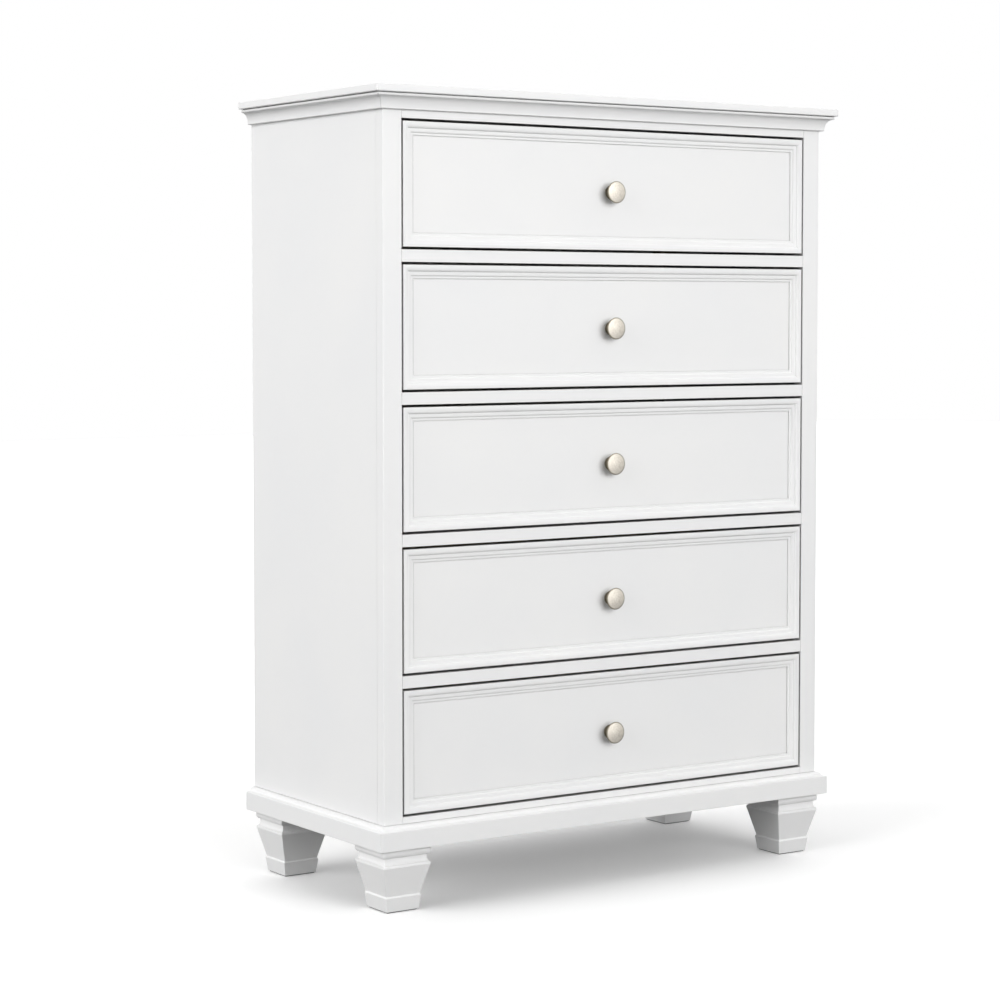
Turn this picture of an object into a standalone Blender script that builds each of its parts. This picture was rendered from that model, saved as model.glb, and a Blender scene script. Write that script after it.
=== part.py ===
"""Tall chest of drawers: five inset drawers in a face-framed case on four tapered feet.

Units are metres and +Z is up. The front faces -Y, and the origin is on the floor under the
middle of the chest. Left and right are those of someone who faces the front.
"""

import math

import bmesh
import bpy
from mathutils import Vector

# Overall size.
CHEST_WIDTH = 0.9144
CHEST_DEPTH = 0.43815
CHEST_HEIGHT = 1.270
DRAWER_COUNT = 5

# Clearances.
JOINT_GAP = 0.0003  # between faces that are glued, screwed or resting on each other
MITRE_GAP = JOINT_GAP / math.sqrt(2)  # taken off each mitred end along its length
DRAWER_GAP = 0.0032  # all round a drawer front

# Top board, and the cornice moulding under it.
TOP_THICKNESS = 0.012
TOP_OVERHANG = 0.0236
TOP_EDGE_RADIUS = 0.002
CORNICE_HEIGHT = 0.0245
FILLET_HEIGHT = 0.0062
FILLET_PROJECTION = 0.019
COVE_TOP_PROJECTION = 0.015
COVE_FOOT_PROJECTION = 0.0065

# Case: side panels, face frame and back.
BACK_SETBACK = 0.0025  # from the back edge of the top board
SIDE_THICKNESS = 0.016
BACK_THICKNESS = 0.005
REBATE_WIDTH = 0.008
FRAME_THICKNESS = 0.019
STILE_WIDTH = 0.0336
RAIL_HEIGHT = 0.01905
RAIL_DEPTH = 0.045
TOP_RAIL_REVEAL = 0.0122  # what shows of the top rail under the cornice
BOTTOM_RAIL_REVEAL = 0.0105  # what shows of the bottom rail above the base

# Base board, moulded along its front and sides.
BASE_PROJECTION = 0.015
BASE_FACE_HEIGHT = 0.0298
BASE_MOULD_HEIGHT = 0.0077

# Feet: square in plan. Each width is across the flats, each drop is from the top of the foot.
FOOT_HEIGHT = 0.1015
FOOT_INSET = 0.0118  # from the edges of the base board
FOOT_SPACER_WIDTH = 0.078  # a thin step between the base board and the bead
FOOT_SPACER_HEIGHT = 0.0022
FOOT_BEAD_WIDTH = 0.087
FOOT_BEAD_SHOULDER_WIDTH = 0.082
FOOT_BEAD_HEIGHT = 0.013
FOOT_NECK_WIDTH = 0.077
FOOT_NECK_DROP = 0.0165
FOOT_LEDGE_WIDTH = 0.0864
FOOT_LEDGE_DROP = 0.0247
FOOT_LEDGE_HEIGHT = 0.0046
FOOT_TAPER_WIDTH = 0.0616
FOOT_BAND_WIDTH = 0.0648
FOOT_BAND_HEIGHT = 0.0238
FOOT_BAND_CHAMFER = 0.0024
FOOT_SOLE_WIDTH = 0.0588

# Drawer fronts: a moulded border round a recessed flat panel.
FRONT_THICKNESS = 0.019
FRONT_EDGE_RADIUS = 0.0012
BORDER_WIDTH = 0.0230
PANEL_RECESS = 0.0070

# Drawer boxes.
BOX_SIDE_GAP = 0.0045  # from the box to the edge of the opening
BOX_LIFT = 0.012  # from the floor of the opening to the box
BOX_HEADROOM = 0.0246  # from the box to the top of the opening
BOX_BACK_GAP = 0.012  # from the box to the back panel
BOX_WALL = 0.012
BOTTOM_THICKNESS = 0.006
BOTTOM_LIFT = 0.010  # from the lower edge of the box to the bottom panel
BOTTOM_GROOVE_DEPTH = 0.005

# Runners: hardwood strips on the case sides, in grooves of the drawer sides.
RUNNER_HEIGHT = 0.012
RUNNER_PLAY = 0.0012
RUNNER_GROOVE_DEPTH = 0.006
RUNNER_TIP_GAP = 0.0008

# Knobs, turned. Each height is from the drawer panel.
KNOB_DIAMETER = 0.0353
KNOB_HEIGHT = 0.0190
KNOB_RIM_HEIGHT = 0.0165
KNOB_RIM_THICKNESS = 0.0020
KNOB_DOME_EDGE = 0.0011
KNOB_NECK_DIAMETER = 0.0160
KNOB_NECK_TOP = 0.0110
KNOB_FLANGE_DIAMETER = 0.0250
KNOB_FLANGE_HEIGHT = 0.0024
KNOB_DROP = 0.0030  # below the middle of the drawer front
KNOB_STEPS = 28

# Places worked out from the sizes above.
FRONT_Y = TOP_OVERHANG - CHEST_DEPTH / 2
BACK_Y = CHEST_DEPTH / 2 - BACK_SETBACK
FRAME_BACK_Y = FRONT_Y + FRAME_THICKNESS
BACK_PANEL_Y = BACK_Y - BACK_THICKNESS
BODY_HALF = CHEST_WIDTH / 2 - TOP_OVERHANG
OPENING_HALF = BODY_HALF - STILE_WIDTH
SIDE_INNER_X = BODY_HALF - SIDE_THICKNESS
BASE_TOP_Z = FOOT_HEIGHT + BASE_FACE_HEIGHT + BASE_MOULD_HEIGHT
TOP_UNDERSIDE_Z = CHEST_HEIGHT - TOP_THICKNESS
CORNICE_FOOT_Z = TOP_UNDERSIDE_Z - CORNICE_HEIGHT
OPENINGS_TOP_Z = CORNICE_FOOT_Z - TOP_RAIL_REVEAL
OPENINGS_FLOOR_Z = BASE_TOP_Z + BOTTOM_RAIL_REVEAL
ALL_RAILS_HEIGHT = RAIL_HEIGHT * (DRAWER_COUNT - 1)
OPENING_HEIGHT = (OPENINGS_TOP_Z - OPENINGS_FLOOR_Z - ALL_RAILS_HEIGHT) / DRAWER_COUNT
BOX_HALF = OPENING_HALF - BOX_SIDE_GAP
BOX_INNER_HALF = BOX_HALF - BOX_WALL
BOX_HEIGHT = OPENING_HEIGHT - BOX_LIFT - BOX_HEADROOM

FINISHES = {
    # name: (colour, roughness, metallic)
    "white_paint": ((0.86, 0.86, 0.855), 0.38, 0.0),
    "birch": ((0.68, 0.51, 0.33), 0.55, 0.0),
    "birch_plywood": ((0.72, 0.57, 0.39), 0.60, 0.0),
    "hardboard": ((0.70, 0.68, 0.64), 0.70, 0.0),
    "satin_nickel": ((0.72, 0.68, 0.62), 0.30, 1.0),
}


def new_collection(name):
    collection = bpy.data.collections.new(name)
    bpy.context.scene.collection.children.link(collection)
    return collection


def new_material(name, finish):
    colour, roughness, metallic = FINISHES[finish]
    material = bpy.data.materials.new(name)
    material.use_nodes = True
    shader = material.node_tree.nodes["Principled BSDF"]
    shader.inputs["Base Color"].default_value = (*colour, 1.0)
    shader.inputs["Roughness"].default_value = roughness
    shader.inputs["Metallic"].default_value = metallic
    return material


def add_part(name, mesh, finish, parent, location, turn=(0.0, 0.0, 0.0)):
    """Place a mesh as a named part, in the frame of its parent."""
    mesh.materials.append(new_material(name, finish))
    part = bpy.data.objects.new(name, mesh)
    parts.objects.link(part)
    part.parent = parent
    part.location = location
    part.rotation_euler = turn
    return part


def block_mesh(name, low, high):
    """A rectangular block about its own middle, and the place of that middle."""
    low = Vector(low)
    high = Vector(high)
    bm = bmesh.new()
    bmesh.ops.create_cube(bm, size=1.0)
    bmesh.ops.scale(bm, vec=high - low, verts=bm.verts)
    mesh = bpy.data.meshes.new(name)
    bm.to_mesh(mesh)
    bm.free()
    return mesh, (low + high) / 2


def add_block(name, low, high, finish, parent):
    mesh, middle = block_mesh(name, low, high)
    return add_part(name, mesh, finish, parent, middle)


def cut_block(part, name, low, high, parent):
    """Cut a rectangular groove or rebate out of a part."""
    mesh, middle = block_mesh(name, low, high)
    cutter = bpy.data.objects.new(name, mesh)
    cutters.objects.link(cutter)
    cutter.parent = parent
    cutter.location = middle
    cutter.hide_render = True
    cutter.display_type = "WIRE"
    cut = part.modifiers.new(name, "BOOLEAN")
    cut.operation = "DIFFERENCE"
    cut.object = cutter


def quarter_arc(start, end, level_start, steps=4):
    """Points after start, along a quarter of an ellipse that ends at end.

    It leaves start along the first axis where level_start is true, and otherwise along
    the second, and reaches end along the other one.
    """
    span = Vector(end) - Vector(start)
    points = []
    for step in range(1, steps + 1):
        angle = math.pi / 2 * step / steps
        rise = math.sin(angle)
        run = 1 - math.cos(angle)
        along = Vector((rise, run)) if level_start else Vector((run, rise))
        points.append((start[0] + span.x * along.x, start[1] + span.y * along.y))
    return points


def outline_mesh(name, outline, length):
    """A flat outline in XY, extruded to a length along Z about its middle."""
    curve = bpy.data.curves.new(name, "CURVE")
    curve.dimensions = "2D"
    curve.fill_mode = "BOTH"
    curve.extrude = length / 2
    spline = curve.splines.new("POLY")
    spline.points.add(len(outline) - 1)
    for point, (x, y) in zip(spline.points, outline):
        point.co = (x, y, 0.0, 1.0)
    spline.use_cyclic_u = True
    guide = bpy.data.objects.new(name, curve)
    parts.objects.link(guide)
    graph = bpy.context.evaluated_depsgraph_get()
    mesh = bpy.data.meshes.new_from_object(guide.evaluated_get(graph))
    bpy.data.objects.remove(guide)
    bpy.data.curves.remove(curve)
    mesh.name = name
    mesh.materials.clear()
    bm = bmesh.new()
    bm.from_mesh(mesh)
    bmesh.ops.remove_doubles(bm, verts=bm.verts, dist=1e-5)
    bmesh.ops.recalc_face_normals(bm, faces=bm.faces)
    bm.to_mesh(mesh)
    bm.free()
    return mesh


def mitre(mesh, ends):
    """Slope the named ends, +1 or -1 along Z, at 45 degrees, so that they grow with X."""
    for vertex in mesh.vertices:
        side = math.copysign(1, vertex.co.z)
        if side in ends:
            vertex.co.z += side * vertex.co.x
    mesh.update()


def turned_mesh(name, profile):
    """The edges of a profile in XZ, for a Screw modifier to turn about Z."""
    mesh = bpy.data.meshes.new(name)
    points = [(radius, 0.0, height) for radius, height in profile]
    edges = [(index, index + 1) for index in range(len(points) - 1)]
    mesh.from_pydata(points, edges, [])
    return mesh


def turn_part(part, steps, smooth):
    screw = part.modifiers.new("turned", "SCREW")
    screw.axis = "Z"
    screw.steps = steps
    screw.render_steps = steps
    screw.use_merge_vertices = True
    screw.merge_threshold = 1e-5
    screw.use_smooth_shade = smooth


def inset_steps(bm, face, profile):
    """Inset one face again and again along a profile of (inset, height) points."""
    for (inset, height), (next_inset, next_height) in zip(profile, profile[1:]):
        bmesh.ops.inset_region(
            bm,
            faces=[face],
            thickness=next_inset - inset,
            depth=next_height - height,
            use_even_offset=True,
        )


def opening_middle_z(number):
    """Height of the middle of a drawer's opening. Drawer 1 is the top one."""
    pitch = OPENING_HEIGHT + RAIL_HEIGHT
    return OPENINGS_TOP_Z - OPENING_HEIGHT / 2 - pitch * (number - 1)


def add_top_panel():
    half_width = CHEST_WIDTH / 2
    half_depth = CHEST_DEPTH / 2
    low = (-half_width, -half_depth, TOP_UNDERSIDE_Z)
    high = (half_width, half_depth, CHEST_HEIGHT)
    top = add_block("top_panel", low, high, "white_paint", case)
    edge = top.modifiers.new("eased_edges", "BEVEL")
    edge.width = TOP_EDGE_RADIUS
    edge.segments = 3


def cornice_outline():
    """Section of the cornice: X is outwards from the case, Y is up from its lower edge."""
    cove_height = CORNICE_HEIGHT - FILLET_HEIGHT
    top = CORNICE_HEIGHT - JOINT_GAP
    cove_foot = (COVE_FOOT_PROJECTION, 0.0)
    cove_top = (COVE_TOP_PROJECTION, cove_height)
    outline = [(JOINT_GAP, 0.0), cove_foot]
    outline += quarter_arc(cove_foot, cove_top, level_start=False, steps=6)
    outline += [(FILLET_PROJECTION, cove_height), (FILLET_PROJECTION, top), (JOINT_GAP, top)]
    return outline


def add_cornice():
    """The front length is mitred at both ends, the side ones at the front only."""
    front_length = 2 * (BODY_HALF - MITRE_GAP)
    side_front_y = FRONT_Y + MITRE_GAP
    side_length = BACK_Y - side_front_y
    side_middle_y = (BACK_Y + side_front_y) / 2
    lengths = (
        # name, length, mitred ends, corner of the section, turn about Z
        ("cornice_front", front_length, (1, -1), (0.0, FRONT_Y), -math.pi / 2),
        ("cornice_left", side_length, (-1,), (-BODY_HALF, side_middle_y), math.pi),
        ("cornice_right", side_length, (1,), (BODY_HALF, side_middle_y), 0.0),
    )
    for name, length, ends, (x, y), angle in lengths:
        mesh = outline_mesh(name, cornice_outline(), length)
        mitre(mesh, ends)
        turn = (math.pi / 2, 0.0, angle)
        add_part(name, mesh, "white_paint", case, (x, y, CORNICE_FOOT_Z), turn)


def add_side_panels():
    """Each side has a rebate along its inner back edge, where the back panel sits."""
    low_y = FRAME_BACK_Y + JOINT_GAP
    low_z = BASE_TOP_Z + JOINT_GAP
    high_z = TOP_UNDERSIDE_Z - JOINT_GAP
    rebate_x = SIDE_INNER_X + REBATE_WIDTH
    rebate_y = BACK_PANEL_Y - JOINT_GAP
    over = 0.01
    for name, side in (("side_panel_left", -1), ("side_panel_right", 1)):
        inner, outer = sorted((side * SIDE_INNER_X, side * BODY_HALF))
        panel = add_block(
            name, (inner, low_y, low_z), (outer, BACK_Y, high_z), "white_paint", case
        )
        near, far = sorted((side * (SIDE_INNER_X - over), side * rebate_x))
        cut_block(
            panel,
            name + "_rebate",
            (near, rebate_y, low_z - over),
            (far, BACK_Y + over, high_z + over),
            case,
        )


def add_face_frame():
    """Two full-height stiles, with the rails between them."""
    low_z = BASE_TOP_Z + JOINT_GAP
    high_z = TOP_UNDERSIDE_Z - JOINT_GAP
    for name, side in (("stile_left", -1), ("stile_right", 1)):
        left, right = sorted((side * OPENING_HALF, side * BODY_HALF))
        add_block(
            name, (left, FRONT_Y, low_z), (right, FRAME_BACK_Y, high_z), "white_paint", case
        )
    rails = [
        ("rail_top", OPENINGS_TOP_Z, high_z, FRAME_THICKNESS),
        ("rail_bottom", low_z, OPENINGS_FLOOR_Z, FRAME_THICKNESS),
    ]
    for number in range(1, DRAWER_COUNT):
        rail_top_z = opening_middle_z(number) - OPENING_HEIGHT / 2
        rails.append((f"rail_{number}", rail_top_z - RAIL_HEIGHT, rail_top_z, RAIL_DEPTH))
    half = OPENING_HALF - JOINT_GAP
    for name, rail_low, rail_high, depth in rails:
        low = (-half, FRONT_Y, rail_low)
        high = (half, FRONT_Y + depth, rail_high)
        add_block(name, low, high, "white_paint", case)


def add_back_panel():
    half = SIDE_INNER_X + REBATE_WIDTH - JOINT_GAP
    low = (-half, BACK_PANEL_Y, BASE_TOP_Z + JOINT_GAP)
    high = (half, BACK_Y, TOP_UNDERSIDE_Z - JOINT_GAP)
    add_block("back_panel", low, high, "hardboard", case)


def base_mould_profile():
    """(inset, height) from the base's arris up to the foot of the case: a fillet, then an ogee."""
    shares = ((0.0, 0.0), (0.16, 0.08), (0.38, 0.16), (0.50, 0.46), (0.62, 0.80), (1.0, 1.0))
    return [(BASE_PROJECTION * inset, BASE_MOULD_HEIGHT * height) for inset, height in shares]


def add_base_panel():
    """A board with one moulding round its top, cut off square at the back."""
    half = BODY_HALF + BASE_PROJECTION
    front = FRONT_Y - BASE_PROJECTION
    back = CHEST_DEPTH / 2
    low = (-half, front, FOOT_HEIGHT)
    high = (half, back + 2 * BASE_PROJECTION, FOOT_HEIGHT + BASE_FACE_HEIGHT)
    mesh, middle = block_mesh("base_panel", low, high)
    bm = bmesh.new()
    bm.from_mesh(mesh)
    top_face = max(bm.faces, key=lambda face: face.calc_center_median().z)
    inset_steps(bm, top_face, base_mould_profile())
    bmesh.ops.bisect_plane(
        bm,
        geom=bm.verts[:] + bm.edges[:] + bm.faces[:],
        plane_co=(0.0, back - middle.y, 0.0),
        plane_no=(0.0, 1.0, 0.0),
        clear_outer=True,
    )
    bmesh.ops.holes_fill(bm, edges=[edge for edge in bm.edges if edge.is_boundary])
    bmesh.ops.recalc_face_normals(bm, faces=bm.faces)
    bm.to_mesh(mesh)
    bm.free()
    add_part("base_panel", mesh, "white_paint", case, middle)


def foot_profile():
    """(half width, height) down a foot: spacer, bead, neck, ledge, taper and band."""
    top = FOOT_HEIGHT - JOINT_GAP
    bead_top = top - FOOT_SPACER_HEIGHT
    bead_low = top - FOOT_BEAD_HEIGHT
    shoulder = (FOOT_BEAD_SHOULDER_WIDTH / 2, bead_top)
    bead_middle = (FOOT_BEAD_WIDTH / 2, (bead_top + bead_low) / 2)
    bead_foot = (FOOT_BEAD_SHOULDER_WIDTH / 2 - 0.001, bead_low)
    neck = (FOOT_NECK_WIDTH / 2, top - FOOT_NECK_DROP)
    ledge = (FOOT_LEDGE_WIDTH / 2, top - FOOT_LEDGE_DROP)
    band_top = FOOT_BAND_HEIGHT + FOOT_BAND_CHAMFER
    spacer = FOOT_SPACER_WIDTH / 2
    profile = [(0.0, top), (spacer, top), (spacer, bead_top), shoulder]
    profile += quarter_arc(shoulder, bead_middle, level_start=True)
    profile += quarter_arc(bead_middle, bead_foot, level_start=False)
    profile += [(neck[0], bead_foot[1] - 0.0008), neck]
    profile += quarter_arc(neck, ledge, level_start=False)
    profile += [
        (ledge[0], ledge[1] - FOOT_LEDGE_HEIGHT),
        (FOOT_TAPER_WIDTH / 2, band_top),
        (FOOT_BAND_WIDTH / 2, FOOT_BAND_HEIGHT),
        (FOOT_SOLE_WIDTH / 2, 0.0),
        (0.0, 0.0),
    ]
    return profile


def add_feet():
    """A square foot is its profile turned in four steps, out to the corners."""
    reach = FOOT_INSET + FOOT_BEAD_WIDTH / 2
    foot_x = BODY_HALF + BASE_PROJECTION - reach
    front_y = FRONT_Y - BASE_PROJECTION + reach
    back_y = CHEST_DEPTH / 2 - reach
    profile = [(half * math.sqrt(2), height) for half, height in foot_profile()]
    for row, y in (("front", front_y), ("back", back_y)):
        for side, x in (("left", -foot_x), ("right", foot_x)):
            name = f"foot_{row}_{side}"
            mesh = turned_mesh(name, profile)
            turn = (0.0, 0.0, math.pi / 4)
            foot = add_part(name, mesh, "white_paint", case, (x, y, 0.0), turn)
            turn_part(foot, steps=4, smooth=False)


def border_profile():
    """(inset, height) across a drawer front, from its rounded edge in to the flat panel.

    Inwards come a narrow land, an ovolo, a fillet, a smaller ovolo, a second fillet and a
    thin groove round the panel. Past the edge, the points are shares of the border's width
    and of its depth.
    """
    edge = (0.0, -FRONT_EDGE_RADIUS)
    profile = [edge]
    profile += quarter_arc(edge, (FRONT_EDGE_RADIUS, 0.0), level_start=False, steps=2)

    def at(inset, depth):
        return (BORDER_WIDTH * inset, -PANEL_RECESS * depth)

    profile.append(at(0.17, 0.0))
    profile += quarter_arc(at(0.17, 0.0), at(0.44, 0.40), level_start=True)
    profile.append(at(0.46, 0.50))
    profile.append(at(0.61, 0.51))
    profile += quarter_arc(at(0.61, 0.51), at(0.74, 0.74), level_start=True, steps=3)
    profile.append(at(0.76, 0.80))
    profile.append(at(0.90, 0.81))
    profile.append(at(0.91, 1.20))
    profile.append(at(0.95, 1.20))
    profile.append(at(0.96, 1.0))
    return profile


def add_drawer_front(name, drawer):
    half_x = OPENING_HALF - DRAWER_GAP
    half_z = OPENING_HEIGHT / 2 - DRAWER_GAP
    low = (-half_x, FRONT_EDGE_RADIUS, -half_z)
    high = (half_x, FRONT_THICKNESS, half_z)
    mesh, middle = block_mesh(name, low, high)
    bm = bmesh.new()
    bm.from_mesh(mesh)
    front_face = min(bm.faces, key=lambda face: face.calc_center_median().y)
    inset_steps(bm, front_face, border_profile())
    bm.to_mesh(mesh)
    bm.free()
    front = add_part(name, mesh, "white_paint", drawer, middle)
    groove_half = BOX_INNER_HALF + BOTTOM_GROOVE_DEPTH
    groove_low_z = -OPENING_HEIGHT / 2 + BOX_LIFT + BOTTOM_LIFT
    cut_block(
        front,
        name + "_groove",
        (-groove_half, FRONT_THICKNESS - BOTTOM_GROOVE_DEPTH, groove_low_z - JOINT_GAP),
        (groove_half, FRONT_THICKNESS + 0.01, groove_low_z + BOTTOM_THICKNESS + JOINT_GAP),
        drawer,
    )


def drawer_side_outline():
    """Section of a drawer side: X is outwards from its inner face, Y is up from its lower edge.

    The outer groove takes the runner, and the inner one the edge of the bottom panel.
    """
    runner_top = (BOX_HEIGHT + RUNNER_HEIGHT) / 2
    groove_top = runner_top + JOINT_GAP
    groove_floor = runner_top - RUNNER_HEIGHT - RUNNER_PLAY
    groove_x = BOX_WALL - RUNNER_GROOVE_DEPTH
    slot_floor = BOTTOM_LIFT - JOINT_GAP
    slot_top = BOTTOM_LIFT + BOTTOM_THICKNESS + JOINT_GAP
    return [
        (0.0, 0.0),
        (BOX_WALL, 0.0),
        (BOX_WALL, groove_floor),
        (groove_x, groove_floor),
        (groove_x, groove_top),
        (BOX_WALL, groove_top),
        (BOX_WALL, BOX_HEIGHT),
        (0.0, BOX_HEIGHT),
        (0.0, slot_top),
        (BOTTOM_GROOVE_DEPTH, slot_top),
        (BOTTOM_GROOVE_DEPTH, slot_floor),
        (0.0, slot_floor),
    ]


def add_drawer_box(name, drawer):
    """Two sides, a back and a bottom, behind the drawer front, in the drawer's own frame."""
    front_y = FRONT_THICKNESS + JOINT_GAP
    back_y = BACK_PANEL_Y - BOX_BACK_GAP - FRONT_Y
    floor_z = -OPENING_HEIGHT / 2 + BOX_LIFT
    bottom_z = floor_z + BOTTOM_LIFT
    bottom_top_z = bottom_z + BOTTOM_THICKNESS
    for side_name, side, angle in (("left", -1, math.pi), ("right", 1, 0.0)):
        side_part = f"{name}_side_{side_name}"
        mesh = outline_mesh(side_part, drawer_side_outline(), back_y - front_y)
        place = (side * BOX_INNER_HALF, (front_y + back_y) / 2, floor_z)
        add_part(side_part, mesh, "birch", drawer, place, (math.pi / 2, 0.0, angle))
    back_half = BOX_INNER_HALF - JOINT_GAP
    add_block(
        name + "_back",
        (-back_half, back_y - BOX_WALL, bottom_top_z + JOINT_GAP),
        (back_half, back_y, floor_z + BOX_HEIGHT),
        "birch",
        drawer,
    )
    bottom_half = BOX_INNER_HALF + BOTTOM_GROOVE_DEPTH - JOINT_GAP
    add_block(
        name + "_bottom",
        (-bottom_half, FRONT_THICKNESS - BOTTOM_GROOVE_DEPTH + JOINT_GAP, bottom_z),
        (bottom_half, back_y, bottom_top_z),
        "birch_plywood",
        drawer,
    )


def knob_profile():
    """(radius, height) from the middle of the domed face round to the foot of the flange."""
    rim = KNOB_DIAMETER / 2
    neck = KNOB_NECK_DIAMETER / 2
    flange = KNOB_FLANGE_DIAMETER / 2
    foot = JOINT_GAP
    dome_edge = (rim - KNOB_DOME_EDGE, KNOB_RIM_HEIGHT + KNOB_DOME_EDGE / 2)
    rim_back = (rim - KNOB_RIM_THICKNESS / 2, KNOB_RIM_HEIGHT - KNOB_RIM_THICKNESS / 2)
    profile = []
    for step in range(4):
        share = step / 4
        drop = (KNOB_HEIGHT - dome_edge[1]) * share**2
        profile.append((dome_edge[0] * share, KNOB_HEIGHT - drop))
    profile += [dome_edge, (rim, KNOB_RIM_HEIGHT), rim_back]
    profile += quarter_arc(rim_back, (neck, KNOB_NECK_TOP), level_start=True)
    profile += [
        (neck, KNOB_FLANGE_HEIGHT * 2),
        (flange, KNOB_FLANGE_HEIGHT),
        (flange, foot),
        (0.0, foot),
    ]
    return profile


def add_drawer(number):
    """A drawer in its own frame: Y from the face of the case, Z from the opening's middle."""
    name = f"drawer_{number}"
    drawer = add_group(name, (0.0, FRONT_Y, opening_middle_z(number)))
    add_drawer_front(name + "_front", drawer)
    add_drawer_box(name, drawer)
    mesh = turned_mesh(name + "_knob", knob_profile())
    place = (0.0, PANEL_RECESS, -KNOB_DROP)
    turn = (math.pi / 2, 0.0, 0.0)
    knob = add_part(name + "_knob", mesh, "satin_nickel", drawer, place, turn)
    turn_part(knob, steps=KNOB_STEPS, smooth=True)


def add_runners(number):
    """A pair of strips that reach from the case sides into the grooves of one drawer."""
    box_floor_z = opening_middle_z(number) - OPENING_HEIGHT / 2 + BOX_LIFT
    low_z = box_floor_z + (BOX_HEIGHT - RUNNER_HEIGHT) / 2
    outer_x = SIDE_INNER_X - JOINT_GAP
    tip_x = BOX_HALF - RUNNER_GROOVE_DEPTH + RUNNER_TIP_GAP
    front_y = FRONT_Y + max(FRAME_THICKNESS, FRONT_THICKNESS) + JOINT_GAP
    back_y = BACK_PANEL_Y - JOINT_GAP
    for side_name, side in (("left", -1), ("right", 1)):
        left, right = sorted((side * outer_x, side * tip_x))
        low = (left, front_y, low_z)
        high = (right, back_y, low_z + RUNNER_HEIGHT)
        add_block(f"runner_{number}_{side_name}", low, high, "birch", case)


def add_group(name, location):
    """An empty that holds the pieces that move together."""
    group = bpy.data.objects.new(name, None)
    parts.objects.link(group)
    group.location = location
    return group


for old_object in list(bpy.data.objects):
    bpy.data.objects.remove(old_object, do_unlink=True)

parts = new_collection("tall_chest_of_drawers")
cutters = new_collection("cutters")
case = add_group("case", (0.0, 0.0, 0.0))

add_top_panel()
add_cornice()
add_side_panels()
add_face_frame()
add_back_panel()
add_base_panel()
add_feet()
for drawer_number in range(1, DRAWER_COUNT + 1):
    add_drawer(drawer_number)
    add_runners(drawer_number)
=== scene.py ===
"""The looks of a tall chest of drawers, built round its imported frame.

Units are metres and +Z is up. The front faces -Y, and left and right are those of someone who
faces the front. Every place comes from the boxes of the frame's nodes.
"""

import math

import bmesh
import bpy
from mathutils import Matrix, Vector


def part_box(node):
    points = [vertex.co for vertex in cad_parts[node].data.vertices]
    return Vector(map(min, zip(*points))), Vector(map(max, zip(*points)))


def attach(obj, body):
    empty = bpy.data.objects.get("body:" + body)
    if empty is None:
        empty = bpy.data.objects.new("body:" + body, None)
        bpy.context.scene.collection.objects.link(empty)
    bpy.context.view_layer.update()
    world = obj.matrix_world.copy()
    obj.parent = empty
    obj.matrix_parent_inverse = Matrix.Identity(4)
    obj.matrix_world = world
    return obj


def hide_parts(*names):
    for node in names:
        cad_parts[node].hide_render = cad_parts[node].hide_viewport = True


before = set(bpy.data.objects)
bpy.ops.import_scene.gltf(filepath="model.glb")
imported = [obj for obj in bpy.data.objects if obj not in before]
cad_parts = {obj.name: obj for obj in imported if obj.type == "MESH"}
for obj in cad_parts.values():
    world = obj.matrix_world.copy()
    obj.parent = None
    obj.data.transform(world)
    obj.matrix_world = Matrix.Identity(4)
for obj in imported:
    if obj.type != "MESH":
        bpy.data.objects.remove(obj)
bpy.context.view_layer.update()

DRAWERS = (1, 2, 3, 4, 5)
SIDES = (("left", -1), ("right", 1))

# Places read from the frame.
TOP_LOW, TOP_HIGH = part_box("top_panel")
BASE_LOW, BASE_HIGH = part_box("base_panel")
CORNICE_LOW, CORNICE_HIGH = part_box("cornice_front")
BODY_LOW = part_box("stile_left")[0]
BODY_HALF = -BODY_LOW.x
FRONT_Y = BODY_LOW.y
BACK_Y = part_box("side_panel_left")[1].y
SEAM = 0.0003  # between pieces that are glued together

# Mouldings of the case.
TOP_EDGE_RADIUS = 0.0018
TOP_CORNER_RADIUS = 0.0016
CORNICE_EASE = 0.0005  # a small chamfer at the cove's foot
CORNICE_GAP = 0.0002  # shadow gap between the top and the bead
CORNICE_GAP_DEPTH = 0.0006  # how far the gap goes in behind the bead
CORNICE_BEAD_RADIUS = 0.0025
COVE_TOP_PROJECTION = 0.0169
COVE_FOOT_PROJECTION = 0.0065
BASE_PROJECTION = 0.015
BASE_FACE_HEIGHT = 0.0298
BASE_EDGE_RADIUS = 0.0010
BASE_CORNER_RADIUS = 0.0007
STILE_CORNER_RADIUS = 0.0011  # at the case's front corners
STILE_EASE = 0.0003  # on a stile's other arrises

# Feet, by the frame's own section. Each width is half of the one across the flats.
FOOT_SPACER = 0.0390
FOOT_SPACER_HEIGHT = 0.0022
FOOT_BEAD_SHOULDER = 0.0412
FOOT_BEAD_HEIGHT = 0.0130
FOOT_NECK = 0.0385
FOOT_NECK_DROP = 0.0165
FOOT_LEDGE = 0.0432
FOOT_LEDGE_DROP = 0.0247
FOOT_LEDGE_HEIGHT = 0.0046
FOOT_TAPER = 0.0308
FOOT_BAND = 0.0324
FOOT_BAND_HEIGHT = 0.0238
FOOT_BAND_CHAMFER = 0.0024
FOOT_SOLE = 0.0294
FOOT_CORNER_RADIUS = 0.0009
GLIDE_HEIGHT = 0.0014
GLIDE_INSET = 0.0022
GLIDE_EDGE = 0.0003

# Drawer fronts.
FRONT_EDGE_RADIUS = 0.0006
FRONT_BACK_EASE = 0.0005
FRONT_RELIEF = 0.0009  # taken off the top and bottom edges, beyond the frame's own gap
BORDER_WIDTH = 0.0230
PANEL_RECESS = 0.0070

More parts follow.
